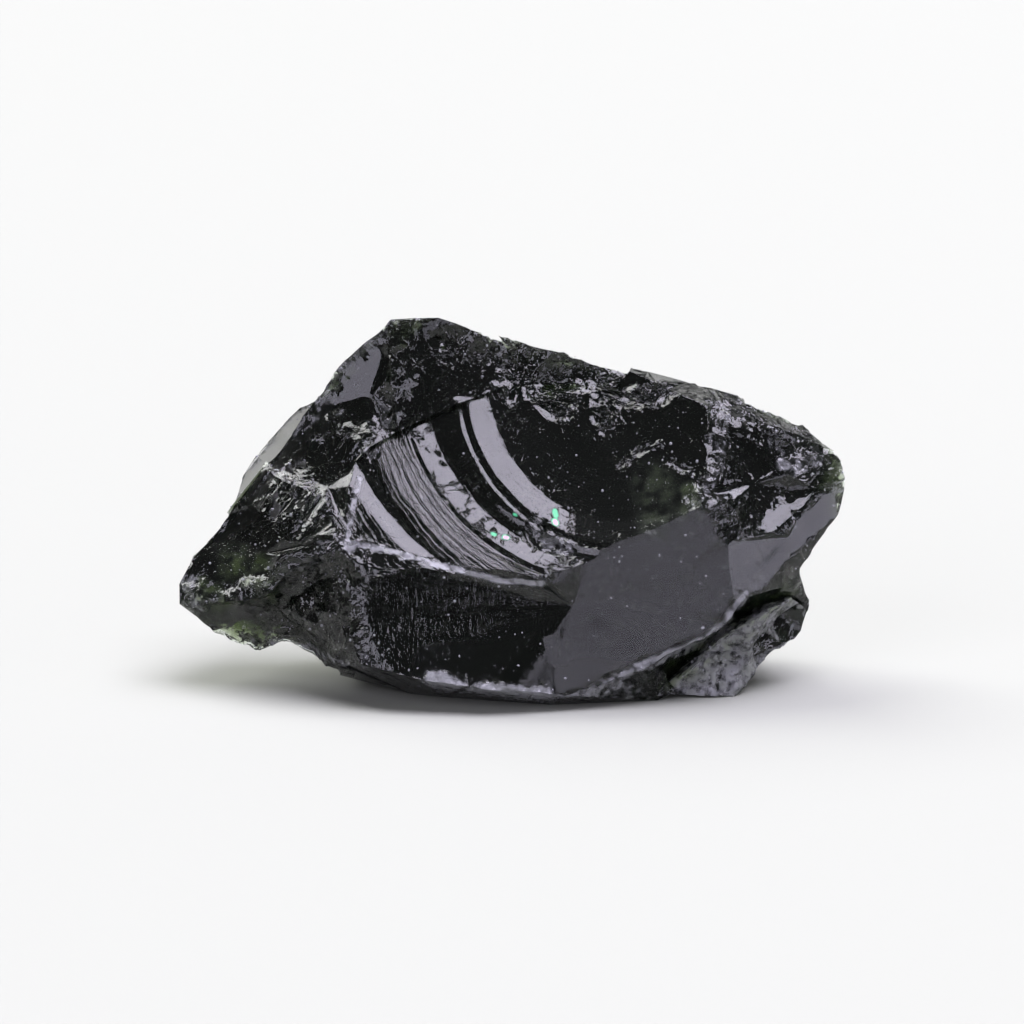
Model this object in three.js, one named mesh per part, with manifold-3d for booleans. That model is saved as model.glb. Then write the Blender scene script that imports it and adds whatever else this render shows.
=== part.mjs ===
// A piece of raw moldavite: dark green natural glass, broken from a larger lump.
//
// Units are millimetres, +Z is up and +X runs along the stone's length. The long arm points to -X and the blunt
// nose to +X. -Y is the side with the large rippled break. The origin is under the middle of the stone, on the
// surface that it rests on.
//
// The stone is worked the way it broke. The blank is the convex hull of its outermost corners, and every face is
// a scar cut into that blank. A scar is a shallow dish whose rim runs through corners that it shares with its
// neighbours, so the corners stay where they are and the edges between two dishes come out sharp.

import * as THREE from "three";
import { ConvexGeometry } from "three/addons/geometries/ConvexGeometry.js";
import { mergeVertices } from "three/addons/utils/BufferGeometryUtils.js";
import Module from "manifold-3d";

const wasm = await Module();
wasm.setup();

// ---- Driving dimensions -----------------------------------------------------------------------------------

const MIDDLE = new THREE.Vector3(0, 1.5, 6.5); // inside the stone, so that a scar knows which way is out
const CUT_HEIGHT = 12; // of the block that a scar takes off
const FACET = 1.15; // size of the facets of a plain scar
const FINE_FACET = 0.5; // and of the large break, which has ripples
const BREAK_ROUGHNESS = 0.03; // unevenness of a clean break
const SKIN_ROUGHNESS = 0.15; // and of the old natural skin

const WELD = 0.02; // shortest edge that is kept

// Pits etched in the natural skin. Each cell of a lattice holds one ball, which dents the skin that it meets.
const PIT_CELL = 2.6;
const PIT_RADIUS = [1.1, 1.9];
const PIT_DEPTH = 0.55; // as a share of how far the ball reaches over the skin

// The large break is given from the point of the blow, as seen from the front: across, up, and how far it stands
// out. It is a shallow bowl, whose numbers hold at one place and say how it leans and bends from there, with rings
// round the point of the blow. From its inside to its outside, each ring stands out more or less by its slope.
const FRONT = new THREE.Vector3(0, -Math.cos(Math.PI / 15), Math.sin(Math.PI / 15)); // towards the viewer
const BLOW = [4.8, 1.8, 14.15];
const BOWL = { across: -7.6, up: -5.22, standOut: 2.22, lean: -0.62, bendAcross: 0.013, bendUp: 0.0225 };
const RINGS = [
  { from: 0, to: 3, slope: 0 },
  { from: 3, to: 6.1, slope: -0.08 },
  { from: 6.1, to: 7.7, slope: 0.14 },
  { from: 7.7, to: 9, slope: -0.22 },
  { from: 9, to: 9.85, slope: 0.2 },
  { from: 9.85, to: 10.3, slope: -0.25 },
  { from: 10.3, to: 11.7, slope: 0.15 },
  { from: 11.7, to: 12.05, slope: -0.3 },
  { from: 12.05, to: 12.9, slope: 0.2 },
  { from: 12.9, to: 20, slope: -0.2 },
];

// Small flakes. A flake is tilted, so that it ends in a step on one side and runs out on the other.
const FLAKE_TILT = 0.45; // radians
const FLAKE_SIDES = 9;
const FLAKE_BANDS = 6;
const FLAKE_RAGGED = 0.2; // share by which its outline wanders

// ---- Corners ----------------------------------------------------------------------------------------------

// Outermost corners of the stone, which give the blank.
const hull = {
  // Crest, from the peak down to the nose.
  peakLeft: [-5.5, 1.5, 16.19],
  peakRight: [-3.6, 2.21, 16.19],
  crestA: [-1.2, 2.0, 15.65],
  crestB: [10.7, 1.35, 12.6],
  crestC: [13.0, 2.2, 11.35],
  noseTop: [14.5, 0.4, 10.35],
  nose: [15.0, -0.08, 9.25],
  noseUnder: [14.5, -0.7, 7.76],
  lobeSide: [13.2, -0.22, 3.28],
  lobeLow: [12.7, -1.0, 2.2],
  // Rim of the large break, from the arm to the nose.
  rimLeft: [-7.3, -4.2, 7.17],
  rimA: [-3.2, -5.15, 6.06],
  rimB: [1.3, -5.6, 5.63],
  rimC: [4.0, -4.69, 7.04],
  rimD: [6.9, -4.45, 7.94],
  rimRight: [8.3, -4.1, 8.6],
  creaseTop: [10.0, -4.01, 6.14],
  creaseLow: [10.3, -4.3, 4.77],
  // Lower edge of the front, and the foot under it.
  lowRight: [9.4, -4.72, 3.55],
  lowRidge: [5.8, -6.17, 1.99],
  lowMid: [2.6, -7.07, 0.91],
  lowLip: [-1.0, -7.24, 1.3],
  lowLeft: [-4.0, -6.86, 1.62],
  lowStep: [-7.1, -5.79, 2.1],
  footRight: [6.4, -4.0, 0.0],
  footMid: [1.6, -4.9, 0.0],
  footLeft: [-3.2, -3.4, 0.0],
  footStep: [-4.6, -2.8, 0.0],
  // Arm.
  armStep: [-8.4, -2.5, 1.5],
  armChin: [-11.6, -1.4, 1.6],
  armUnder: [-13.4, -1.0, 2.4],
  tipLow: [-15.0, -0.9, 3.7],
  tip: [-15.0, -0.8, 4.6],
  tipTop: [-14.4, -0.3, 5.7],
  armA: [-12.9, 0.3, 7.2],
  armB: [-10.9, 1.0, 9.8],
  armC: [-9.2, 1.26, 12.18],
  armD: [-7.8, 1.57, 14.12],
  // Back.
  backPeak: [-3.0, 6.0, 14.6],
  backRight: [8.5, 6.2, 11.0],
  backNose: [13.4, 4.6, 8.8],
  backLobe: [11.4, 4.8, 2.8],
  backFoot: [5.5, 6.6, 1.8],
  backFootLeft: [-3.5, 6.8, 2.2],
  backMid: [2.0, 7.0, 8.6],
  backArm: [-9.0, 4.8, 4.2],
  backTip: [-13.0, 2.4, 4.6],
  // Thin blade behind the arm.
  bladeTop: [-9.3, 6.0, 10.8],
  bladeShoulder: [-10.9, 6.0, 10.1],
  bladeEdge: [-11.7, 5.9, 9.1],
  bladeSide: [-12.2, 5.7, 7.5],
  bladeLow: [-12.0, 5.2, 6.0],
  // Back of the foot.
  footBackRight: [8.2, 2.6, 0.0],
  footBack: [3.0, 4.6, 0.0],
  footBackLeft: [-4.0, 3.6, 0.0],
};

// Corners of the lobe at the lower right, which bulges out of the groove beside it.
const lobe = {
  lobeTop: [12.4, -1.9, 4.2],
  lobeRight: [13.15, -0.4, 3.3],
  lobeEdge: [12.8, -1.0, 2.3],
  lobeBend: [11.6, -1.6, 1.5],
  lobeHeel: [10.5, -2.6, 0.6],
  lobeFoot: [9.8, -3.3, 0.0],
  lobeToe: [6.4, -4.4, 0.3],
  lobeFront: [8.0, -4.8, 1.7],
  lobeBrow: [9.9, -4.1, 3.0],
  lobeCrown: [11.4, -3.1, 3.9],
  lobeRootTop: [10.5, 1.0, 4.5],
  lobeRootLow: [7.0, 0.0, 0.0],
};

// Corners further in, where scars meet.
const inner = {
  // Round the large break.
  bowlCorner: [-7.15, -3.05, 8.5],
  bowlLeft: [-7, -2.23, 9.47],
  bowlSide: [-6.4, -0.83, 10.77],
  bowlTop: [-5.1, -0.29, 11.15],
  bowlCap: [-3.7, 0.55, 11.98],
  bowlBand: [-2.6, 0.9, 12.66],
  bowlTooth: [-1.5, 0.99, 12.6],
  bowlTongue: [-0.5, 0.14, 11.46],
  bowlChips: [0.9, 0.84, 12.62],
  aboveBlow: [4.8, 4.0, 16.4],
  rightOfBlow: [8.2, -0.06, 12.95],
  // Peak and crest.
  shoulder: [-5.5, 0.34, 13.61],
  faceTop: [-1.4, 2.0, 14.3],
  crestFront: [4.2, 2.0, 13.6],
  // Ridge between the large break and the hollow, and the hollow itself.
  kneeTop: [9.1, -0.87, 12.24],
  kneeMid: [9.2, -2.09, 10.85],
  kneeLow: [8.4, -3.32, 9.38],
  hollowTop: [12.9, -0.5, 11.2],
  hollowSide: [13.6, -1.0, 10.45],
  hollowRight: [13.6, -1.17, 8.9],
  hollowLow: [11.6, -2.94, 7.32],
  hollowKnee: [9.9, -4.02, 7.55],
  hollowLeft: [9.3, -3.91, 8.55],
  waist: [13.0, -2.27, 5.2],
  // Arm, and the valley between it and the blade.
  armRidgeA: [-9.7, -3.9, 6.85],
  armRidgeB: [-11.1, -3.3, 4.8],
  armRidgeC: [-14.0, -1.7, 3.8],
  armEdge: [-8.6, -3.8, 8.5],
  ridgeTop: [-8.6, 2.9, 11.7],
  ridgeBack: [-10.4, 2.5, 9.35],
  ridgeSide: [-12.3, 1.7, 6.9],
  ridgeLow: [-13.8, 1.0, 5.4],
  armPatch: [-10.8, -0.9, 9.2],
  notch: [-10.2, -1.7, 2.3],
  notchBack: [-8.0, 2.5, 3.0],
  valleyTop: [-7.6, 5.2, 12.0],
  valleyShoulder: [-9.6, 4.9, 10.9],
  valleyEdge: [-12.0, 4.8, 9.2],
  valleySide: [-12.8, 4.6, 7.4],
  valleyLow: [-13.2, 3.4, 5.6],
};

const place = (name) => new THREE.Vector3(...(hull[name] ?? lobe[name] ?? inner[name]));
const pointsOf = (table) => Object.keys(table).map(place);

// ---- Solids -----------------------------------------------------------------------------------------------

function solidOf(geometry) {
  const bare = geometry.clone();
  bare.deleteAttribute("normal");
  bare.deleteAttribute("uv");
  const merged = mergeVertices(bare, 1e-4);
  return new wasm.Manifold(
    new wasm.Mesh({
      numProp: 3,
      vertProperties: merged.attributes.position.array,
      triVerts: new Uint32Array(merged.index.array),
    }),
  );
}

// A solid's surface, without edges that are shorter than weld: a cut leaves some where it grazes a corner.
function weldedGeometryOf(solid, weld) {
  const merged = mergeVertices(geometryOf(solid).toNonIndexed(), weld);
  const index = Array.from(merged.index.array);
  const kept = [];
  for (let i = 0; i < index.length; i += 3) {
    const [a, b, c] = index.slice(i, i + 3);
    if (a !== b && b !== c && c !== a) kept.push(a, b, c);
  }
  merged.setIndex(kept);
  return merged;
}

function geometryOf(solid) {
  const mesh = solid.getMesh();
  const geometry = new THREE.BufferGeometry();
  geometry.setAttribute("position", new THREE.BufferAttribute(mesh.vertProperties, 3));
  geometry.setIndex(new THREE.BufferAttribute(mesh.triVerts, 1));
  return geometry;
}

// Moves every vertex of a geometry by move(vertex).
function reshape(geometry, move) {
  const positions = geometry.attributes.position;
  const vertex = new THREE.Vector3();
  for (let i = 0; i < positions.count; i++) {
    vertex.fromBufferAttribute(positions, i);
    move(vertex);
    positions.setXYZ(i, vertex.x, vertex.y, vertex.z);
  }
  return geometry;
}

// ---- Relief -----------------------------------------------------------------------------------------------

// Gentle unevenness of a broken face.
function waviness(p) {
  const slow = Math.sin(1.31 * p.x + 0.7 * p.y + 0.4) * Math.sin(0.83 * p.z - 0.9 * p.y + 1.1);
  const quick = Math.sin(2.3 * p.x - 1.1 * p.z + 2.0) * Math.sin(2.1 * p.y + 1.7 * p.z);
  return slow + 0.5 * quick;
}

// A number from 0 to 1 that belongs to one cell of a lattice.
function scatter(i, j, k, seed) {
  const value = Math.sin(12.9898 * i + 78.233 * j + 37.719 * k + 9.151 * seed) * 43758.5453;
  return value - Math.floor(value);
}

// How deep the pits are at a point of the skin.
function pits(p) {
  const home = [p.x, p.y, p.z].map((v) => Math.floor(v / PIT_CELL));
  let reach = 0;
  for (let n = 0; n < 27; n++) {
    const cell = home.map((h, axis) => h + (Math.floor(n / 3 ** axis) % 3) - 1);
    const ball = new THREE.Vector3(...cell.map((c, axis) => (c + scatter(...cell, axis)) * PIT_CELL));
    const radius = THREE.MathUtils.lerp(...PIT_RADIUS, scatter(...cell, 3));
    const share = 1 - p.distanceToSquared(ball) / radius ** 2;
    reach = Math.max(reach, share * radius);
  }
  return PIT_DEPTH * reach;
}

// How far the large break stands out over the point of the blow, at a place across and up from it.
function bowl(x, y) {
  const [dx, dy] = [x - BOWL.across, y - BOWL.up];
  const dish = BOWL.standOut + BOWL.lean * dy + BOWL.bendAcross * dx * dx + BOWL.bendUp * dy * dy;
  const radius = Math.hypot(x, y);
  return RINGS.reduce((sum, ring) => {
    return sum + ring.slope * THREE.MathUtils.clamp(radius - ring.from, 0, ring.to - ring.from);
  }, dish);
}

// ---- Scars ------------------------------------------------------------------------------------------------

// Normal of the plane that fits a ring of corners best.
function normalOf(corners, centre) {
  const sum = new THREE.Vector3();
  corners.forEach((corner, i) => {
    const next = corners[(i + 1) % corners.length].clone().sub(centre);
    sum.add(corner.clone().sub(centre).cross(next));
  });
  sum.normalize();
  return sum.dot(centre.clone().sub(MIDDLE)) < 0 ? sum.negate() : sum;
}

// Where a ray from the pole leaves the rim: how far out, and how high over the scar's plane.
function rimAt(corners, angle) {
  const [dx, dy] = [Math.cos(angle), Math.sin(angle)];
  let found = { far: 0, high: 0 };
  corners.forEach((a, i) => {
    const b = corners[(i + 1) % corners.length];
    const [ex, ey] = [b.x - a.x, b.y - a.y];
    const cross = dx * ey - dy * ex;
    const far = (a.x * ey - a.y * ex) / cross;
    const share = (a.x * dy - a.y * dx) / cross;
    if (far > found.far && share >= 0 && share <= 1) found = { far, high: a.z + share * (b.z - a.z) };
  });
  return found;
}

// The rim in every spoke's direction, with its corners rounded by blur, in radians.
function rimTable(corners, spokes, blur) {
  const turn = (2 * Math.PI) / spokes;
  const sharp = Array.from({ length: spokes }, (_, s) => rimAt(corners, s * turn));
  const span = Math.max(1, Math.round(blur / turn / 2));
  return sharp.map((_, s) => {
    const near = Array.from({ length: 2 * span + 1 }, (_, k) => sharp[(s + k - span + spokes) % spokes]);
    const mean = (key) => near.reduce((sum, rim) => sum + rim[key], 0) / near.length;
    return { far: mean("far"), high: mean("high") };
  });
}

// The block of glass that one blow takes off. Its underside is the scar: a dish round a pole, with a rim through
// the named corners, and deepest in the middle. Reach is how far it runs on past its rim, as a share. The large
// break has its own pole, the point of the blow, and its own shape.
function scar(rim, { sag = 0, facet = FACET, reach = 1.3, blur = 0.3, large = false, skin = false }) {
  const corners = rim.map(place);
  const centre = corners.reduce((sum, c) => sum.add(c), new THREE.Vector3()).divideScalar(corners.length);
  const normal = large ? FRONT : normalOf(corners, centre);
  const origin = large ? new THREE.Vector3(...BLOW) : centre;
  const along = large ? new THREE.Vector3(1, 0, 0) : corners[0].clone().sub(origin).projectOnPlane(normal).normalize();
  const across = new THREE.Vector3().crossVectors(normal, along);
  const frame = new THREE.Matrix4().makeBasis(along, across, normal).setPosition(origin);
  const local = corners.map((c) => c.clone().applyMatrix4(frame.clone().invert()));
  const size = local.reduce((sum, c) => sum + Math.hypot(c.x, c.y), 0) / local.length;
  const spokes = Math.round((2 * Math.PI * size) / facet);
  const rings = Math.round((size * reach) / facet);
  const table = rimTable(local, spokes, blur);

  // A unit disc under a lid, turned on the Y axis. The disc becomes the dish.
  const disc = Array.from({ length: rings + 1 }, (_, i) => new THREE.Vector2((reach * i) / rings, 0));
  const block = new THREE.LatheGeometry([...disc, new THREE.Vector2(reach, 1), new THREE.Vector2(0, 1)], spokes);
  return solidOf(
    reshape(block, (p) => {
      const share = Math.hypot(p.x, p.z);
      const spoke = (Math.round((Math.atan2(p.x, p.z) * spokes) / (2 * Math.PI)) + spokes) % spokes;
      const angle = (2 * Math.PI * spoke) / spokes;
      const { far, high } = table[spoke];
      const distance = share * far;
      const lid = p.y > 0.5;
      const [x, y] = [distance * Math.cos(angle), distance * Math.sin(angle)];
      const dish = large ? bowl(x, y) : high * share - sag * (1 - share * share);
      p.set(x, y, lid ? CUT_HEIGHT : dish).applyMatrix4(frame);
      if (lid) return;
      const roughness = (skin ? SKIN_ROUGHNESS : BREAK_ROUGHNESS) * waviness(p);
      p.addScaledVector(normal, roughness - (skin ? pits(p) : 0));
    }),
  );
}

// Scars cut into the blank.
const scars = [
  // The large break, from the point of the blow on the crest.
  scar(
    [
      "rimLeft", "rimA", "rimB", "rimC", "rimD", "rimRight", "kneeLow", "kneeMid", "kneeTop", "rightOfBlow",
      "aboveBlow", "bowlChips", "bowlTongue", "bowlTooth", "bowlBand", "bowlCap", "bowlTop", "bowlSide", "bowlLeft",
      "bowlCorner",
    ],
    { facet: FINE_FACET, reach: 1.12, blur: 0.2, large: true },
  ),
  // The dark hollow beside it.
  scar(
    [
      "kneeTop", "hollowTop", "hollowSide", "hollowRight", "hollowLow", "hollowKnee", "hollowLeft", "kneeLow",
      "kneeMid",
    ],
    { sag: 1.8, facet: 0.8, reach: 1.15 },
  ),
  // Front, under the rim: one bent surface, with a shallow dish in its right half.
  scar(
    [
      "rimLeft", "rimA", "rimB", "rimC", "rimD", "rimRight", "creaseTop", "creaseLow", "lowRight", "lowRidge",
      "lowMid", "lowLip", "lowLeft", "lowStep",
    ],
    { sag: -0.1, blur: 0.7 },
  ),
  scar(["rimB", "rimC", "rimD", "rimRight", "creaseTop", "creaseLow", "lowRight", "lowRidge", "lowMid"], {
    sag: 0.15,
    reach: 1.1,
    blur: 0.8,
  }),
  // Nose, and the end of the stone under it.
  scar(
    ["nose", "noseUnder", "waist", "creaseLow", "creaseTop", "hollowKnee", "hollowLow", "hollowRight"],
    { sag: 0.3 },
  ),
  scar(["noseUnder", "waist", "lobeSide", "backLobe", "backNose", "noseTop"], { sag: 1.3, reach: 1.3, blur: 0.05 }),
  // Peak, seen from the front.
  scar(["peakLeft", "shoulder", "bowlTop", "bowlSide", "armC", "armD"], { sag: 0.35, reach: 1.6 }),
  scar(["peakLeft", "peakRight", "faceTop", "bowlTooth", "bowlBand", "bowlCap", "bowlTop", "shoulder"], {
    sag: 0.3,
    reach: 1.5,
  }),
  scar(["faceTop", "crestA", "crestFront", "bowlChips", "bowlTongue", "bowlTooth"], {
    sag: 0.3,
    facet: 0.8,
    reach: 1.5,
  }),
  // Arm.
  scar(["bowlSide", "bowlLeft", "bowlCorner", "rimLeft", "armEdge", "armPatch", "armB", "armC"], { sag: 0.4 }),
  scar(["rimLeft", "armRidgeA", "armRidgeB", "armRidgeC", "tip", "tipTop", "armA", "armPatch", "armEdge"], { sag: 0.5 }),
  scar(
    [
      "rimLeft", "armRidgeA", "armRidgeB", "armRidgeC", "tipLow", "armUnder", "armChin", "notch", "armStep",
      "lowStep",
    ],
    { sag: 0.5 },
  ),
  scar(["armChin", "notch", "armStep", "notchBack", "backArm", "backTip", "armUnder"], { sag: 0.5 }),
  scar(["armC", "armB", "armA", "tipTop", "ridgeLow", "ridgeSide", "ridgeBack", "ridgeTop"], { sag: 0.1, reach: 1.2 }),
  scar(
    [
      "ridgeTop", "ridgeBack", "ridgeSide", "ridgeLow", "valleyLow", "valleySide", "valleyEdge", "valleyShoulder",
      "valleyTop",
    ],
    { sag: 1.8, reach: 1.12, blur: 0.1 },
  ),
  // Groove above the lobe.
  scar(["creaseLow", "waist", "lobeSide", "lobeLow", "lobeHeel", "footRight", "lowRidge", "lowRight"], { sag: 0.9 }),
  // Back: two clean breaks under the crest, and the old skin round them.
  scar(["peakRight", "crestA", "crestB", "backRight", "backMid", "backPeak"], { sag: 0.5, reach: 1.1 }),
  scar(["peakLeft", "peakRight", "backPeak", "valleyTop", "armC", "armD"], { sag: 0.3, reach: 1.3, blur: 0.1 }),
  scar(
    ["backPeak", "backMid", "backFoot", "backFootLeft", "backArm", "bladeLow", "bladeSide", "bladeTop"],
    { sag: 0.3, skin: true },
  ),
  scar(["backRight", "backNose", "backLobe", "backFoot", "backMid"], { sag: 0.3, skin: true }),
  scar(["backLobe", "backFoot", "footBack", "footBackRight"], { sag: 0.3, skin: true }),
  scar(["backFoot", "backFootLeft", "footBackLeft", "footBack"], { sag: 0.3, skin: true }),
  scar(["crestB", "crestC", "noseTop", "backNose", "backRight"], { sag: 0.2, skin: true }),
];

// Skin of the lobe, once it stands in its groove.
const lobeSkin = scar(
  [
    "lobeTop", "lobeCrown", "lobeBrow", "lobeFront", "lobeToe", "lobeFoot", "lobeHeel", "lobeBend", "lobeEdge",
    "lobeRight",
  ],
  { sag: 0.1, facet: 0.8, reach: 1.1, skin: true },
);

// ---- Flakes -----------------------------------------------------------------------------------------------

// Each is knocked out where a line along Y, through x and z, meets the front. Turn is in degrees.
const flakes = [
  // Two lens-shaped flakes and a crumbled patch on the arm.
  { x: -7.5, z: 12.6, long: 2.8, wide: 0.9, deep: 0.25, turn: 20 },
  { x: -7.0, z: 11.9, long: 2.0, wide: 0.7, deep: 0.25, turn: 15 },
  { x: -9.6, z: 9.0, long: 2.3, wide: 1.2, deep: 0.35, turn: -10 },
  // Under the crest.
  { x: 0.0, z: 14.2, long: 2.4, wide: 0.9, deep: 0.3, turn: -30 },
  { x: 1.3, z: 13.2, long: 1.9, wide: 0.8, deep: 0.3, turn: 30 },
  { x: 3.9, z: 13.2, long: 2.2, wide: 0.9, deep: 0.3, turn: 80 },
  { x: 6.3, z: 12.4, long: 1.6, wide: 0.8, deep: 0.3, turn: 20 },
  { x: 5.7, z: 11.0, long: 2.2, wide: 0.8, deep: 0.25, turn: 35 },
  // Crushed spot inside the rim.
  { x: 1.9, z: 8.2, long: 1.6, wide: 0.9, deep: 0.3, turn: -20 },
  { x: 2.2, z: 7.0, long: 1.6, wide: 0.7, deep: 0.3, turn: 20 },
  // Lips of the lower edge.
  { x: -3.0, z: 1.3, long: 1.7, wide: 0.9, deep: 0.3, turn: 0 },
  { x: 0.2, z: 0.9, long: 2.4, wide: 0.9, deep: 0.3, turn: -5 },
  // Hollow.
  { x: 12.2, z: 9.6, long: 2.0, wide: 0.6, deep: 0.25, turn: 25 },
];

function flakeOf(solid, { x, z, long, wide, deep, turn }) {
  const ray = new THREE.Raycaster(new THREE.Vector3(x, -20, z), new THREE.Vector3(0, 1, 0));
  const { point, face } = ray.intersectObject(new THREE.Mesh(geometryOf(solid)))[0];
  const ball = reshape(new THREE.SphereGeometry(1, FLAKE_SIDES, FLAKE_BANDS), (p) => {
    const side = Math.round((Math.atan2(p.z, p.x) * FLAKE_SIDES) / (2 * Math.PI) + FLAKE_SIDES) % FLAKE_SIDES;
    const wander = 1 + FLAKE_RAGGED * (2 * scatter(side, Math.round(10 * x), Math.round(10 * z), 4) - 1);
    p.set(p.x * wander, p.y, p.z * wander);
  });
  // The ball's middle is as high over the surface as the flake is deep, so the cut is smaller than its girth.
  const girth = Math.sqrt(4 / 3) / 2;
  ball.rotateX(Math.PI / 2);
  ball.scale(long * girth, wide * girth, 2 * deep);
  ball.rotateX(FLAKE_TILT);
  ball.rotateZ(THREE.MathUtils.degToRad(turn));
  const level = new THREE.Vector3(0, 0, 1).cross(face.normal).normalize();
  const upward = new THREE.Vector3().crossVectors(face.normal, level);
  const middle = point.clone().addScaledVector(face.normal, deep);
  ball.applyMatrix4(new THREE.Matrix4().makeBasis(level, upward, face.normal).setPosition(middle));
  return solidOf(ball);
}

// ---- Stone ------------------------------------------------------------------------------------------------

const blank = solidOf(new ConvexGeometry(pointsOf(hull)));
const carved = scars.reduce((solid, cut) => solid.subtract(cut), blank);
const lobed = carved.add(solidOf(new ConvexGeometry(pointsOf(lobe))).subtract(lobeSkin));
const flaked = flakes.reduce((solid, flake) => solid.subtract(flakeOf(solid, flake)), lobed);
const stone = weldedGeometryOf(flaked, WELD);

// The scars take a little off the outermost corners, so the stone is moved back over the origin.
stone.computeBoundingBox();
const middle = stone.boundingBox.getCenter(new THREE.Vector3());
stone.translate(-middle.x, -middle.y, -stone.boundingBox.min.z);

const glass = new THREE.MeshStandardMaterial({ color: 0x1c2416, roughness: 0.08, metalness: 0 });
const moldavite = new THREE.Mesh(stone, glass);
moldavite.name = "moldavite";

const part = new THREE.Group();
part.add(moldavite);

export default part;
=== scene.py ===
"""Raw moldavite: a broken piece of dark green natural glass, resting on a pale floor."""

import math

import bmesh
import bpy
import numpy as np
from mathutils import Matrix, Vector

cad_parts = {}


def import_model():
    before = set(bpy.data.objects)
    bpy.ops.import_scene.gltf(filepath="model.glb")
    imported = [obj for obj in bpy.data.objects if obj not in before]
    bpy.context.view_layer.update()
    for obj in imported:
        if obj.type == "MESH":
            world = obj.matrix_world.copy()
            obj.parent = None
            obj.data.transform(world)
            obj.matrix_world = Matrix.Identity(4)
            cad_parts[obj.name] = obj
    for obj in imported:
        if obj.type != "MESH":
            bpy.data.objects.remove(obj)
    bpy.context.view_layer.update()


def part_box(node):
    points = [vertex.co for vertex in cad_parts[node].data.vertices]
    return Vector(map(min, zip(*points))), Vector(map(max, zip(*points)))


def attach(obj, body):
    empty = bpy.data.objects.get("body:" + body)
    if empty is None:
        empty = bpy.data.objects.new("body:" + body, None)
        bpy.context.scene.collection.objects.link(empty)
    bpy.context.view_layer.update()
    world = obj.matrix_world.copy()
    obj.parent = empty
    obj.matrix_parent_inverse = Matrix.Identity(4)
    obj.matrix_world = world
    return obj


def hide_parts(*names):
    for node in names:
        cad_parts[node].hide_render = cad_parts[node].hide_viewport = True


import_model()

# Shapes are worked out in millimetres, and a finished mesh is scaled to metres.
MM = 0.001

# ---- Corners of the stone ----------------------------------------------------------------------------------

# Outermost corners, which give the blank.
HULL = {
    # Crest, from the peak down to the nose.
    "peak_left": (-5.5, 1.5, 16.19),
    "peak_right": (-3.6, 2.21, 16.19),
    "crest_a": (-1.2, 2.0, 15.65),
    "crest_b": (10.7, 1.35, 12.6),
    "crest_c": (13.0, 2.2, 11.35),
    "brow_right": (8.6, -0.67, 12.72),
    "nose_top": (14.5, 0.4, 10.35),
    "nose": (15.0, -0.08, 9.25),
    "nose_under": (14.5, -0.7, 7.76),
    "lobe_side": (13.2, -0.22, 3.28),
    "lobe_low": (12.7, -1.0, 2.2),
    # Rim of the large break, from the arm to the nose.
    "rim_left": (-7.3, -4.2, 7.17),
    "rim_a": (-3.2, -5.15, 6.06),
    "rim_b": (1.3, -5.6, 5.63),
    "rim_c": (4.0, -4.69, 7.04),
    "rim_d": (6.9, -4.45, 7.94),
    "rim_right": (8.3, -4.1, 8.6),
    "crease_top": (10.0, -4.01, 6.14),
    "crease_low": (10.3, -4.4, 4.79),
    # Lower edge of the front, and the foot under it.
    "low_right": (9.4, -4.57, 3.52),
    "low_ridge": (5.8, -5.49, 1.85),
    "low_mid": (2.6, -6.13, 0.72),
    "low_lip": (-1.0, -7.24, 1.3),
    "low_left": (-4.0, -6.86, 1.62),
    "low_step": (-7.1, -5.79, 2.1),
    "foot_right": (6.4, -4.0, 0.0),
    "foot_mid": (1.6, -4.9, 0.0),
    "foot_left": (-3.2, -3.4, 0.0),
    "foot_step": (-4.6, -2.8, 0.0),
    # Arm.
    "arm_step": (-8.4, -3.13, 1.63),
    "arm_chin": (-11.6, -1.4, 1.6),
    "arm_under": (-13.4, -1.0, 2.4),
    "tip_low": (-15.0, -0.9, 3.7),
    "tip": (-15.0, -0.8, 4.6),
    "tip_top": (-14.4, -0.3, 5.7),
    "arm_a": (-12.9, 0.3, 7.2),
    "arm_b": (-10.9, 1.0, 9.8),
    "arm_c": (-9.2, 1.26, 12.18),
    "arm_d": (-7.8, 1.57, 14.12),
    # Back.
    "back_peak": (-3.0, 6.0, 14.6),
    "back_right": (8.5, 6.2, 11.0),
    "back_nose": (13.4, 4.6, 8.8),
    "back_lobe": (11.4, 4.8, 2.8),
    "back_foot": (5.5, 6.6, 1.8),
    "back_foot_left": (-3.5, 6.8, 2.2),
    "back_mid": (2.0, 7.0, 8.6),
    "back_arm": (-9.0, 4.8, 4.2),
    "back_tip": (-13.0, 2.4, 4.6),
    # Thin blade behind the arm.
    "blade_top": (-9.3, 6.0, 10.8),
    "blade_shoulder": (-10.9, 6.0, 10.1),
    "blade_edge": (-11.7, 5.9, 9.1),
    "blade_side": (-12.2, 5.7, 7.5),
    "blade_low": (-12.0, 5.2, 6.0),
    # Back of the foot.
    "foot_back_right": (8.2, 2.6, 0.0),
    "foot_back": (3.0, 4.6, 0.0),
    "foot_back_left": (-4.0, 3.6, 0.0),
}

# Corners of the lobe at the lower right, which bulges out of the groove beside it.
LOBE = {
    "lobe_top": (12.4, -1.9, 4.2),
    "lobe_right": (13.15, -0.4, 3.3),
    "lobe_edge": (12.8, -1.0, 2.3),
    "lobe_bend": (11.6, -1.6, 1.5),
    "lobe_heel": (10.5, -2.6, 0.6),
    "lobe_foot": (9.8, -3.3, 0.0),
    "lobe_toe": (6.4, -4.4, 0.3),
    "lobe_front": (8.0, -4.8, 1.7),
    "lobe_brow": (9.9, -4.1, 3.0),
    "lobe_crown": (11.4, -3.1, 3.9),
    "lobe_root_top": (10.5, 1.0, 4.5),
    "lobe_root_low": (7.0, 0.0, 0.0),
}

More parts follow.
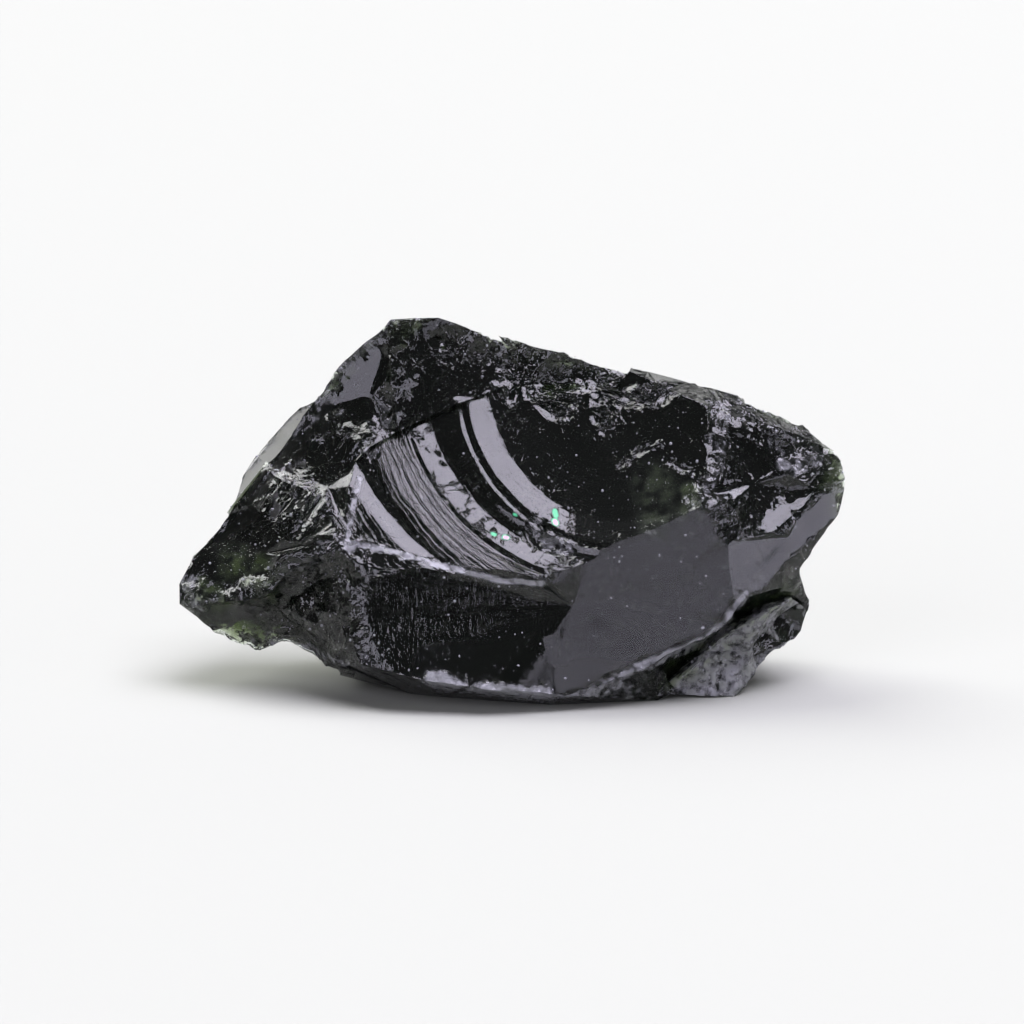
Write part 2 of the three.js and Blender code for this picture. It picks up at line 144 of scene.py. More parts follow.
# Corners further in, where scars meet.
INNER = {
    # Round the large break.
    "bowl_corner": (-7.15, -3.05, 8.5),
    "bowl_left": (-7, -2.23, 9.47),
    "bowl_side": (-6.4, -0.83, 10.77),
    "bowl_top": (-5.1, -0.29, 11.15),
    "bowl_cap": (-3.7, 0.55, 11.98),
    "bowl_band": (-2.6, 0.9, 12.66),
    "bowl_tooth": (-1.5, 0.99, 12.6),
    "bowl_tongue": (-0.5, 0.14, 11.46),
    "bowl_chips": (0.9, 0.84, 12.62),
    "above_blow": (4.8, 4.0, 16.4),
    "right_of_blow": (8.2, -0.06, 12.95),
    # Peak and crest.
    "shoulder": (-5.5, 0.34, 13.61),
    "face_top": (-1.4, 2.0, 14.3),
    "crest_front": (4.2, 2.0, 13.6),
    # Ridge between the large break and the hollow, and the hollow itself.
    "knee_top": (9.1, -0.87, 12.24),
    "knee_mid": (9.2, -2.09, 10.85),
    "knee_low": (8.4, -3.32, 9.38),
    "hollow_top": (12.9, -0.5, 11.2),
    "hollow_side": (13.6, -1.0, 10.45),
    "hollow_right": (13.6, -1.03, 8.87),
    "hollow_low": (11.6, -2.8, 7.29),
    "hollow_knee": (9.9, -3.72, 7.49),
    "hollow_left": (9.3, -3.91, 8.55),
    "flank_knee": (9.9, -3.58, 7.46),
    "flank_top": (10, -3.86, 6.11),
    "flank_low": (10.3, -4.11, 4.73),
    "flank_waist": (13, -2.42, 5.23),
    "waist": (13, -2.46, 5.24),
    # Arm, and the valley between it and the blade.
    "arm_ridge_a": (-9.7, -3.9, 6.85),
    "arm_ridge_b": (-11.1, -3.3, 4.8),
    "arm_ridge_c": (-14.0, -1.7, 3.8),
    "arm_edge": (-8.6, -3.8, 8.5),
    "ridge_top": (-8.6, 2.9, 11.7),
    "ridge_back": (-10.4, 2.5, 9.35),
    "ridge_side": (-12.3, 1.7, 6.9),
    "ridge_low": (-13.8, 1.0, 5.4),
    "arm_patch": (-10.8, -0.9, 9.2),
    "notch": (-10.2, -2.25, 2.42),
    "notch_back": (-8.0, 2.5, 3.0),
    "valley_top": (-7.6, 5.2, 12.0),
    "valley_shoulder": (-9.6, 4.9, 10.9),
    "valley_edge": (-12.0, 4.8, 9.2),
    "valley_side": (-12.8, 4.6, 7.4),
    "valley_low": (-13.2, 3.4, 5.6),
}

CORNERS = {**HULL, **LOBE, **INNER}
MIDDLE = np.array((0.0, 1.5, 6.5))  # inside the stone, so that a scar knows which way is out

# ---- Relief ------------------------------------------------------------------------------------------------


def scatter(cells, seed):
    """A number from 0 to 1 that belongs to each cell of a lattice."""
    value = np.sin(cells @ np.array((12.9898, 78.233, 37.719)) + 9.151 * seed) * 43758.5453
    return value - np.floor(value)


def smooth_step(value, low, high):
    """From 0 at low to 1 at high, without a kink."""
    share = np.clip((value - low) / (high - low), 0, 1)
    return share * share * (3 - 2 * share)


def waviness(p):
    """Gentle unevenness of a broken face."""
    x, y, z = p.T
    slow = np.sin(1.31 * x + 0.7 * y + 0.4) * np.sin(0.83 * z - 0.9 * y + 1.1)
    quick = np.sin(2.3 * x - 1.1 * z + 2.0) * np.sin(2.1 * y + 1.7 * z)
    return slow + 0.5 * quick


FRESH_WAVES = 0.05  # height of the unevenness on a fresh break
SMOOTH_WAVES = 0.012  # on the smoothest breaks
SKIN_WAVES = 0.15  # on the old natural skin

# Pits of the old skin: lattice cell, smallest and largest radius, depth as a share of the ball's reach, and
# seed.
PIT_SIZES = (
    (2.6, 1.1, 1.9, 0.55, 0),
    (0.7, 0.25, 0.5, 0.35, 11),
)


def pits(p, cell, small, large, depth, seed):
    """How deep the pits are at each point. Each cell of a lattice holds one ball, which dents the skin."""
    home = np.floor(p / cell)
    reach = np.zeros(len(p))
    for step in np.ndindex(3, 3, 3):
        near = home + np.array(step) - 1
        ball = (near + np.stack([scatter(near, seed + axis) for axis in range(3)], axis=1)) * cell
        radius = small + (large - small) * scatter(near, seed + 3)
        share = 1 - np.sum((p - ball) ** 2, axis=1) / radius**2
        reach = np.maximum(reach, share * radius)
    return depth * reach


# The large break is given as seen from the front: across, up, and how far it stands out towards the viewer.
# It is a shallow bowl, with rings round the point of the blow. Each ring runs from one radius to the next,
# and rises or falls outwards by its slope.
FRONT_VIEW = np.array(((1.0, 0.0, 0.0), (0.0, 0.208, 0.978), (0.0, -0.978, 0.208)))
BLOW = np.array((4.8, 1.8, 14.15))
RINGS = (
    (0.0, 3.0, 0.0),
    (3.0, 6.1, -0.04),
    (6.1, 7.1, 0.2),
    (7.1, 7.4, -0.3),
    (7.4, 7.55, 0.3),
    (7.55, 9.0, -0.2),
    (9.0, 9.85, 0.2),
    (9.85, 10.1, -0.25),
    (10.1, 10.85, 0.22),
    (10.85, 11.45, -0.05),
    (11.45, 12.65, -0.22),
    (12.65, 13.2, 0.35),
    (13.2, 20.0, -0.2),
)
RING_STEP = 0.01  # of the table that the rings are summed in
RING_EDGE = 5  # steps over which one slope turns into the next


def ring_heights():
    """Radii from the point of the blow, and how far the rings stand out at each."""
    radius = np.arange(0, RINGS[-1][1], RING_STEP)
    inside = [(radius >= start) & (radius < end) for start, end, _ in RINGS]
    slope = np.select(inside, [rise for *_, rise in RINGS])
    slope = np.convolve(slope, np.full(RING_EDGE, 1 / RING_EDGE), mode="same")
    return radius, np.cumsum(slope) * RING_STEP


def bowl(across, up):
    """How far the large break stands out at a place that is given as seen from the front."""
    across_blow, up_blow = across - BLOW @ FRONT_VIEW[0], up - BLOW @ FRONT_VIEW[1]
    radius = np.hypot(across_blow, up_blow)
    # The inner rings widen downwards and the outer ones close in.
    turn = np.clip((np.arctan2(up_blow, across_blow) + 2 * math.pi) % (2 * math.pi) - math.pi, 0, 1.3)
    inner = 1 - smooth_step(radius, 8.2, 8.8)
    outer = smooth_step(radius, 11.0, 12.0)
    radius = radius - 0.9 * (turn - 0.23) * inner + 1.5 * (turn - 0.42) * outer
    dish = 3.4 + 0.013 * (across + 2.8) ** 2 - 0.62 * (up - 9) + 0.0225 * (up - 9) ** 2
    return dish + np.interp(radius, *ring_heights())


# ---- Scars -------------------------------------------------------------------------------------------------

CUT_HEIGHT = 12  # of the block that a scar takes off
DENSE = 720  # directions in which a rim is measured


def rim_at(corners, angles):
    """Where rays from the middle of a scar leave its rim: how far out, and how high over its plane."""
    a = corners[:, None, :]
    b = np.roll(corners, -1, axis=0)[:, None, :]
    dx, dy = np.cos(angles)[None], np.sin(angles)[None]
    ex, ey = b[..., 0] - a[..., 0], b[..., 1] - a[..., 1]
    cross = dx * ey - dy * ex
    far = (a[..., 0] * ey - a[..., 1] * ex) / cross
    share = (a[..., 0] * dy - a[..., 1] * dx) / cross
    far = np.where((share >= 0) & (share <= 1), far, 0)
    edge = far.argmax(axis=0)
    spoke = np.arange(len(angles))
    high = a[edge, 0, 2] + share[edge, spoke] * (b[edge, 0, 2] - a[edge, 0, 2])
    return far[edge, spoke], high


def rim_spokes(corners, count, blur):
    """Directions that cut the rim into equal lengths, and how far and how high the rim is in each.

    Its corners are rounded by blur, in radians.
    """
    angles = np.arange(DENSE) * 2 * math.pi / DENSE
    far, high = rim_at(corners, angles)
    span = max(1, round(blur / (2 * math.pi) * DENSE / 2))
    shifts = range(-span, span + 1)
    far = np.mean([np.roll(far, s) for s in shifts], axis=0)
    high = np.mean([np.roll(high, s) for s in shifts], axis=0)
    outline = np.stack((far * np.cos(angles), far * np.sin(angles), high), axis=1)
    steps = np.linalg.norm(np.roll(outline, -1, axis=0) - outline, axis=1)
    travelled = np.concatenate(((0.0,), np.cumsum(steps)))
    closed = np.append(angles, 2 * math.pi)
    chosen = np.interp(np.arange(count) * travelled[-1] / count, travelled, closed)
    return (
        chosen,
        np.interp(chosen, closed, np.append(far, far[0])),
        np.interp(chosen, closed, np.append(high, high[0])),
    )


def disc_under_lid(rings, spokes):
    """A unit disc of rings and spokes under a lid, as one closed shell."""
    bm = bmesh.new()
    line = [bm.verts.new((ring / rings, 0, 0)) for ring in range(rings + 1)]
    edges = [bm.edges.new(pair) for pair in zip(line, line[1:])]
    bmesh.ops.spin(
        bm, geom=line + edges, cent=(0, 0, 0), axis=(0, 0, 1), angle=2 * math.pi, steps=spokes, use_merge=True
    )
    bmesh.ops.remove_doubles(bm, verts=bm.verts, dist=0.2 / rings)
    rim = [edge for edge in bm.edges if edge.is_boundary]
    raised = bmesh.ops.extrude_edge_only(bm, edges=rim)["geom"]
    bmesh.ops.translate(bm, verts=[v for v in raised if isinstance(v, bmesh.types.BMVert)], vec=(0, 0, 1))
    bmesh.ops.contextual_create(bm, geom=[e for e in raised if isinstance(e, bmesh.types.BMEdge)])
    bmesh.ops.recalc_face_normals(bm, faces=bm.faces)
    mesh = bpy.data.meshes.new("block")
    bm.to_mesh(mesh)
    bm.free()
    return mesh


def points_of(mesh):
    flat = np.empty(3 * len(mesh.vertices), np.float32)
    mesh.vertices.foreach_get("co", flat)
    return flat.reshape(-1, 3).astype(float)


def set_points(mesh, points):
    mesh.vertices.foreach_set("co", points.astype(np.float32).ravel())
    mesh.update()


REGIONS = []


def mark(mesh, region):
    """Notes on every face of a block which scar it leaves."""
    if region not in REGIONS:
        REGIONS.append(region)
    note = mesh.attributes.new("scar", "INT", "FACE")
    note.data.foreach_set("value", np.full(len(mesh.polygons), REGIONS.index(region), np.int32))


def object_of(name, mesh):
    thing = bpy.data.objects.new(name, mesh)
    bpy.context.scene.collection.objects.link(thing)
    return thing


def scar(
    region, rim, sag=0.3, reach=1.3, blur=0.3, facet=0.25, rings=None,
    waves=FRESH_WAVES, skin=False, rippled=False,
):
    """The block of glass that one blow takes off. Its underside is the scar.

    The scar is a dish with a rim through the named corners, and sag is how much deeper its middle is. Reach
    is how far out the dish goes, as a share of its rim, and blur is how much the rim's corners are rounded. A
    rippled scar is the large break, which has a shape of its own, and old skin has pits.
    """
    corners = np.array([CORNERS[name] for name in rim])
    centre = corners.mean(axis=0)
    if rippled:
        origin, axes = BLOW, FRONT_VIEW
    else:
        around = np.roll(corners, -1, axis=0)
        normal = np.cross(corners - centre, around - centre).sum(axis=0)
        normal /= np.linalg.norm(normal)
        if normal @ (centre - MIDDLE) < 0:
            normal = -normal
        along = corners[0] - centre
        along -= (along @ normal) * normal
        along /= np.linalg.norm(along)
        origin, axes = centre, np.stack((along, np.cross(normal, along), normal))
    local = (corners - origin) @ axes.T
    size = np.hypot(local[:, 0], local[:, 1]).mean()
    spokes = round(2 * math.pi * size / facet)
    rings = rings or round(size * reach / facet)
    angles, far, high = rim_spokes(local, spokes, blur)

    mesh = disc_under_lid(rings, spokes)
    unit = points_of(mesh)
    share = reach * np.hypot(unit[:, 0], unit[:, 1])
    spoke = np.round(np.arctan2(unit[:, 1], unit[:, 0]) * spokes / (2 * math.pi)).astype(int) % spokes
    distance = share * far[spoke]
    across, up = distance * np.cos(angles[spoke]), distance * np.sin(angles[spoke])
    if rippled:
        start = axes @ origin
        dish = bowl(across + start[0], up + start[1]) - start[2]
    else:
        dish = high[spoke] * share - sag * (1 - share**2)
    lid = unit[:, 2] > 0.5
    points = np.stack((across, up, np.where(lid, CUT_HEIGHT, dish)), axis=1) @ axes + origin
    rough = (SKIN_WAVES if skin else waves) * waviness(points)
    if skin:
        for pit_size in PIT_SIZES:
            rough -= pits(points, *pit_size)
    points += np.where(lid, 0, rough)[:, None] * axes[2]
    set_points(mesh, points)
    mark(mesh, region)
    return object_of(region, mesh)


def cut(thing, tool, operation="DIFFERENCE"):
    """Cuts a tool out of a thing, or joins it on, and removes the tool."""
    step = thing.modifiers.new("cut", "BOOLEAN")
    step.object = tool
    step.operation = operation
    step.solver = "MANIFOLD"
    old = thing.data
    thing.data = bpy.data.meshes.new_from_object(thing.evaluated_get(bpy.context.evaluated_depsgraph_get()))
    thing.modifiers.clear()
    bpy.data.meshes.remove(old)
    bpy.data.meshes.remove(tool.data)


def hull_of(name, region, corners):
    bm = bmesh.new()
    for corner in corners.values():
        bm.verts.new(corner)
    bmesh.ops.convex_hull(bm, input=bm.verts, use_existing_faces=False)
    bmesh.ops.recalc_face_normals(bm, faces=bm.faces)
    mesh = bpy.data.meshes.new(name)
    bm.to_mesh(mesh)
    bm.free()
    mark(mesh, region)
    return object_of(name, mesh)


SCARS = (
    # The large break, from the point of the blow on the crest.
    dict(
        region="break",
        rim=(
            "rim_left", "rim_a", "rim_b", "rim_c", "rim_d", "rim_right", "knee_low", "knee_mid",
            "knee_top", "right_of_blow", "above_blow", "bowl_chips", "bowl_tongue", "bowl_tooth",
            "bowl_band", "bowl_cap", "bowl_top", "bowl_side", "bowl_left", "bowl_corner",
        ),
        reach=1.12, blur=0.2, facet=0.2, rings=160, waves=SMOOTH_WAVES, rippled=True,
    ),
    # The dark hollow beside it.
    dict(
        region="hollow",
        rim=(
            "knee_top", "hollow_top", "hollow_side", "hollow_right", "hollow_low", "hollow_knee",
            "hollow_left", "knee_low", "knee_mid",
        ),
        sag=0.5, reach=1.15, facet=0.2,
    ),
    # Front, under the rim: one bent surface, with a shallow dish in its right half.
    dict(
        region="front",
        rim=(
            "rim_left", "rim_a", "rim_b", "rim_c", "rim_d", "rim_right", "crease_top", "crease_low",
            "low_right", "low_ridge", "low_mid", "low_lip", "low_left", "low_step",
        ),
        sag=-0.1, blur=0.7, facet=0.2, waves=SMOOTH_WAVES,
    ),
    dict(
        region="dish",
        rim=(
            "rim_b", "rim_c", "rim_d", "rim_right", "crease_top", "crease_low", "low_right", "low_ridge",
            "low_mid",
        ),
        sag=0.02, reach=1.1, blur=0.8, facet=0.2, waves=SMOOTH_WAVES,
    ),
    # Nose, and the end of the stone under it.
    dict(
        region="nose",
        rim=(
            "nose", "nose_under", "flank_waist", "flank_low", "flank_top", "flank_knee", "hollow_low",
            "hollow_right",
        ),
        sag=-0.03, reach=1.2, waves=0.02,
    ),
    dict(
        region="end",
        rim=("nose_under", "waist", "lobe_side", "back_lobe", "back_nose", "nose_top"),
        sag=1.3, reach=1.3, blur=0.05,
    ),
    # Peak, seen from the front.
    dict(
        region="peak",
        rim=("peak_left", "shoulder", "bowl_top", "bowl_side", "arm_c", "arm_d"),
        sag=0.35, reach=1.6,
    ),
    dict(
        region="face",
        rim=(
            "peak_left", "peak_right", "face_top", "bowl_tooth", "bowl_band", "bowl_cap", "bowl_top",
            "shoulder",
        ),
        sag=0.3, reach=1.5,
    ),
    dict(
        region="brow",
        rim=("face_top", "crest_a", "crest_front", "bowl_chips", "bowl_tongue", "bowl_tooth"),
        sag=0.3, reach=1.5,
    ),
    dict(
        region="shelf",
        rim=("brow_right", "crest_b", "crest_c", "nose_top", "hollow_side", "hollow_top", "knee_top"),
        sag=0.0, reach=1.01, waves=0.02,
    ),
    # Arm.
    dict(
        region="arm_top",
        rim=("bowl_side", "bowl_left", "bowl_corner", "rim_left", "arm_edge", "arm_patch", "arm_b", "arm_c"),
        sag=0.4,
    ),
    dict(
        region="arm_front",
        rim=(
            "rim_left", "arm_ridge_a", "arm_ridge_b", "arm_ridge_c", "tip", "tip_top", "arm_a", "arm_patch",
            "arm_edge",
        ),
        sag=0.5,
    ),
    dict(
        region="arm_under",
        rim=(
            "rim_left", "arm_ridge_a", "arm_ridge_b", "arm_ridge_c", "tip_low", "arm_under", "arm_chin",
            "notch", "arm_step", "low_step",
        ),
        sag=0.5,
    ),
    dict(
        region="arm_base",
        rim=("arm_chin", "notch", "arm_step", "notch_back", "back_arm", "back_tip", "arm_under"),
        sag=0.5,
    ),
    dict(
        region="ridge",
        rim=("arm_c", "arm_b", "arm_a", "tip_top", "ridge_low", "ridge_side", "ridge_back", "ridge_top"),
        sag=0.1, reach=1.2,
    ),
    dict(
        region="valley",
        rim=(
            "ridge_top", "ridge_back", "ridge_side", "ridge_low", "valley_low", "valley_side", "valley_edge",
            "valley_shoulder", "valley_top",
        ),
        sag=1.8, reach=1.12, blur=0.1,
    ),
    # Groove above the lobe.
    dict(
        region="groove",
        rim=(
            "crease_low", "waist", "lobe_side", "lobe_low", "lobe_heel", "foot_right", "low_ridge",
            "low_right",
        ),
        sag=0.9,
    ),
    # Back: two clean breaks under the crest, and the old skin round them.
    dict(
        region="back_right",
        rim=("peak_right", "crest_a", "crest_b", "back_right", "back_mid", "back_peak"),
        sag=0.5, reach=1.1,
    ),
    dict(
        region="back_left",
        rim=("peak_left", "peak_right", "back_peak", "valley_top", "arm_c", "arm_d"),
        sag=0.3, reach=1.3, blur=0.1,
    ),
    dict(
        region="skin_back",
        rim=(
            "back_peak", "back_mid", "back_foot", "back_foot_left", "back_arm", "blade_low", "blade_side",
            "blade_top",
        ),
        sag=0.3, skin=True,
    ),
    dict(
        region="skin_right",
        rim=("back_right", "back_nose", "back_lobe", "back_foot", "back_mid"), sag=0.3, skin=True,
    ),
    dict(
        region="skin_heel",
        rim=("back_lobe", "back_foot", "foot_back", "foot_back_right"), sag=0.3, skin=True,
    ),
    dict(
        region="skin_foot",
        rim=("back_foot", "back_foot_left", "foot_back_left", "foot_back"), sag=0.3, skin=True,
    ),
    dict(
        region="skin_nose",
        rim=("crest_b", "crest_c", "nose_top", "back_nose", "back_right"), sag=0.2, skin=True,
    ),
)

LOBE_SKIN = dict(
    region="lobe",
    rim=(
        "lobe_top", "lobe_crown", "lobe_brow", "lobe_front", "lobe_toe", "lobe_foot", "lobe_heel",
        "lobe_bend", "lobe_edge", "lobe_right",
    ),
    sag=0.1, reach=1.1, skin=True, facet=0.2,
)


def carved_stone():
    stone = hull_of("moldavite_glass", "blank", HULL)
    for values in SCARS:
        cut(stone, scar(**values))
    swelling = hull_of("lobe", "lobe", LOBE)
    cut(swelling, scar(**LOBE_SKIN))
    cut(stone, swelling, "UNION")
    return stone


SHARP_ANGLE = math.radians(32)  # an edge that turns more than this stays sharp


def finish_shape(stone):
    """Brings the stone to the CAD's place, in metres, and shades it smooth between its edges."""
    bm = bmesh.new()
    bm.from_mesh(stone.data)
    bmesh.ops.triangulate(bm, faces=bm.faces)
    bm.to_mesh(stone.data)
    bm.free()
    points = points_of(stone.data)
    low, high = points.min(axis=0), points.max(axis=0)
    cad_low, cad_high = (np.array(corner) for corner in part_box("moldavite"))
    middle = (low + high) / 2 * MM - (cad_low + cad_high) / 2
    shift = np.array((middle[0], middle[1], low[2] * MM - cad_low[2]))
    set_points(stone.data, points * MM - shift)
    stone.data.shade_smooth()
    stone.data.set_sharp_from_angle(angle=SHARP_ANGLE)


# ---- Wear, painted glow and painted glints -----------------------------------------------------------------

# Where the glass is frosted or crumbled, where a green glow is painted on for the light that thin glass
# lets through, and where glints are painted as pale frost, as strokes along the stone. Each stroke runs
# through places that are given as seen from the front, across and up in millimetres, and its width is
# about half of how wide it is.
STROKES = (
    # Tip and underside of the arm.
    dict(line=((-14.5, 4.2), (-13.4, 3.2), (-11.3, 2.5), (-9.8, 2.0)), width=1.1, frost_and_glints=0.2, crumble=0.4),
    dict(line=((-14.6, 4.4), (-14.3, 3.4)), width=0.5, frost_and_glints=0.5, crumble=0.9),
    dict(line=((-7.8, 6.3), (-8.6, 5.6), (-9.5, 5.1), (-10.9, 4.5), (-12.2, 4.0), (-13.8, 3.4)),
         width=0.35, frost_and_glints=0.3, crumble=0.9),
    dict(line=((-11.3, 1.8), (-9.5, 1.2), (-8.2, 0.8), (-6.2, 0.4)), width=0.5, frost_and_glints=0.4, crumble=0.7),
    dict(line=((-7.9, 5.5), (-8.6, 3.6), (-8.0, 2.4)), width=0.9, frost_and_glints=0.1, crumble=0.8),
    # Crumbly patch and small ledges on top of the arm.
    dict(line=((-10.8, 8.5), (-9.5, 9.2), (-9.0, 7.9), (-10.3, 7.5)), width=0.55, frost_and_glints=0.25, crumble=1.0),
    dict(line=((-9.3, 11.5), (-7.6, 12.1)), width=0.16, frost_and_glints=0.3, crumble=0.4),
    dict(line=((-8.6, 11.2), (-6.1, 11.1)), width=0.3, frost_and_glints=0.15, crumble=0.5),
    dict(line=((-6.6, 10.4), (-6.2, 10.2)), width=0.2, frost_and_glints=0.5, crumble=1.0),
    # Peak.
    dict(line=((-5.7, 12.6), (-5.6, 11.5)), width=0.28, frost_and_glints=0.4, crumble=0.8),
    dict(line=((-5.5, 16.0), (-7.7, 14.0), (-8.6, 12.4), (-9.5, 11.3), (-10.2, 10.4)),
         width=0.3, frost_and_glints=0.35, crumble=0.3),
    dict(line=((-5.2, 15.4), (-4.6, 14.2), (-5.2, 13.2)), width=0.6, frost_and_glints=0.04, crumble=0.5),
    # Chips under the crest.
    dict(line=((-2.8, 15.0), (-1.4, 15.0), (-0.5, 14.8), (0.5, 13.9), (1.3, 13.2), (2.2, 12.6)),
         width=0.75, frost_and_glints=0.1, crumble=1.0),
    dict(line=((0.9, 15.2), (2.5, 14.5)), width=0.5, frost_and_glints=0.05, crumble=0.9),
    dict(line=((4.2, 13.7), (4.3, 11.7)), width=0.5, frost_and_glints=0.12, crumble=1.0),
    dict(line=((5.3, 12.6), (6.4, 12.8), (6.9, 13.0)), width=0.4, frost_and_glints=0.12, crumble=1.0),
    dict(line=((4.8, 9.5), (5.8, 10.3), (6.7, 10.6)), width=0.1, frost_and_glints=0.1, crumble=0.6),
    dict(line=((7.1, 9.8), (8.0, 9.3)), width=0.1, frost_and_glints=0.1, crumble=0.6),
    # Ridge beside the hollow, and the skin above it.
    dict(line=((9.6, 11.9), (9.1, 10.8), (9.4, 10.1), (8.5, 8.5), (8.1, 8.2)),
         width=0.34, frost_and_glints=0.4, crumble=1.0),
    dict(line=((9.4, 12.4), (10.7, 12.2), (12.1, 11.7), (13.4, 10.8), (14.0, 10.0)),
         width=0.55, frost_and_glints=0.28, crumble=0.7),
    dict(line=((14.0, 10.2), (14.7, 9.0)), width=0.4, frost_and_glints=0.2, crumble=0.7),
    # Rim of the large break.
    dict(line=((-7.1, 6.2), (-5.0, 5.7), (-2.8, 5.1), (-0.5, 4.5), (1.3, 4.4)),
         width=0.11, frost_and_glints=0.75, crumble=0.5),
    dict(line=((-7.3, 6.1), (-7.2, 6.0)), width=0.25, frost_and_glints=0.7, crumble=0.4),
    dict(line=((1.5, 4.4), (2.8, 5.4), (4.0, 5.9), (5.8, 6.5), (6.9, 6.8), (8.3, 7.6)),
         width=0.1, frost_and_glints=0.25),
    dict(line=((1.5, 6.3), (2.4, 5.9)), width=0.32, frost_and_glints=0.5, crumble=1.0),
    dict(line=((1.0, 6.9), (1.3, 6.5)), width=0.4, frost_and_glints=0.3, crumble=0.9),
    dict(line=((-6.8, 9.0), (-7.1, 7.6), (-7.3, 6.4)), width=0.11, frost_and_glints=0.65),
    # Painted glints in the dark hollow, as two short strokes of pale frost.
    dict(line=((11.7, 10.3), (12.2, 10.0)), width=0.1, frost_and_glints=0.7),
    dict(line=((11.9, 9.8), (12.6, 9.2)), width=0.12, frost_and_glints=0.6),
    # Lower right.
    dict(line=((10.3, 3.8), (9.4, 2.5), (8.5, 1.8), (5.8, 0.7), (2.4, -0.9)),
         width=0.24, frost_and_glints=0.6, crumble=0.3),
    # Lips along the bottom.
    dict(line=((-3.5, 0.1), (-2.3, -0.3)), width=0.4, frost_and_glints=0.9, crumble=0.7),
    dict(line=((-1.4, -0.45), (1.5, -0.65)), width=0.4, frost_and_glints=0.9, crumble=0.7),
    # Cracks that split the light into colours.
    dict(line=((-0.9, 6.6), (-0.75, 6.55)), width=0.03, fire=0.4),
    dict(line=((-0.35, 6.45), (-0.2, 6.4)), width=0.03, fire=1.0),
    dict(line=((0.1, 7.45), (0.2, 7.4)), width=0.02, fire=0.4),
    dict(line=((1.9, 7.6), (1.95, 7.4)), width=0.07, fire=0.4),
    dict(line=((1.9, 7.15), (1.95, 7.05)), width=0.05, fire=1.0),
    # Places where the glass is thin, with a painted green glow for the light that shines through them.
    dict(line=((-12.2, 5.2), (-10.8, 4.3)), width=0.8, green=0.8),
    dict(line=((-14.2, 3.9), (-13.3, 3.4)), width=0.7, green=0.9),
    dict(line=((6.3, 8.9), (6.6, 6.9)), width=0.8, green=0.4),
    dict(line=((7.9, 8.4), (8.0, 7.7)), width=0.4, green=0.7),
    dict(line=((6.4, -0.3), (8.6, 1.3), (12.4, 3.9)), width=0.5, green=0.7),
)

# What each scar is like all over; its green is a painted glow, for the light that shines through the glass.
FINISHES_AND_PAINTED_GLOW = {
    "blank": dict(frost_and_glints=0.2, crumble=0.5),
    "hollow": dict(crumble=0.12),
    "front": dict(satin=1.0),
    "dish": dict(satin=1.0),
    "nose": dict(satin=0.6),
    "brow": dict(crumble=0.3),
    "face": dict(crumble=0.05),
    "shelf": dict(frost_and_glints=0.05, crumble=0.4),
    "arm_top": dict(crumble=0.1),
    "arm_front": dict(crumble=0.1),
    "arm_under": dict(frost_and_glints=0.1, crumble=0.7),
    "arm_base": dict(frost_and_glints=0.2, crumble=0.6),
    "ridge": dict(frost_and_glints=0.1, crumble=0.2),
    "valley": dict(frost_and_glints=1.0, pale=1.0),
    "groove": dict(frost_and_glints=0.04, crumble=0.4, green=0.3),
    "lobe": dict(frost_and_glints=0.62, crumble=0.6, green=0.3),
    "back_right": dict(crumble=0.2),
    "back_left": dict(crumble=0.2),
    "skin_back": dict(frost_and_glints=0.35, crumble=0.4, green=0.5),
    "skin_right": dict(frost_and_glints=0.3, crumble=0.4, green=0.5),
    "skin_heel": dict(frost_and_glints=0.3, crumble=0.4, green=0.5),
    "skin_foot": dict(frost_and_glints=0.3, crumble=0.4, green=0.5),
    "skin_nose": dict(frost_and_glints=0.3, crumble=0.5, green=0.5),
}
STROKE_KINDS = ("frost_and_glints", "crumble", "green", "fire")
KINDS = (*STROKE_KINDS, "pale", "satin", "rings", "hackles")


def distance_to(line, places):
    """How far each place is from a line through several points, in the plane."""
    nearest = np.full(len(places), np.inf)
    for start, end in zip(np.array(line), np.array(line[1:])):
        run = end - start
        share = np.clip((places - start) @ run / (run @ run), 0, 1)
        nearest = np.minimum(nearest, np.linalg.norm(places - start - share[:, None] * run, axis=1))
    return nearest


def normals_of(mesh):
    flat = np.empty(3 * len(mesh.vertices), np.float32)
    mesh.vertices.foreach_get("normal", flat)
    return flat.reshape(-1, 3).astype(float)


def region_shares(mesh):
    """For every point of the stone, how much of the faces round it each scar left."""
    scars = np.empty(len(mesh.polygons), np.int32)
    mesh.attributes["scar"].data.foreach_get("value", scars)
    corners = np.empty(len(mesh.loops), np.int32)
    mesh.loops.foreach_get("vertex_index", corners)
    corner_scars = np.repeat(scars, 3)
    count = np.bincount(corners, minlength=len(mesh.vertices))
    return {
        region: np.bincount(corners, weights=corner_scars == index, minlength=len(count)) / count
        for index, region in enumerate(REGIONS)
    }


RIM_HEIGHT = 6.5  # top of the front, as seen from the front


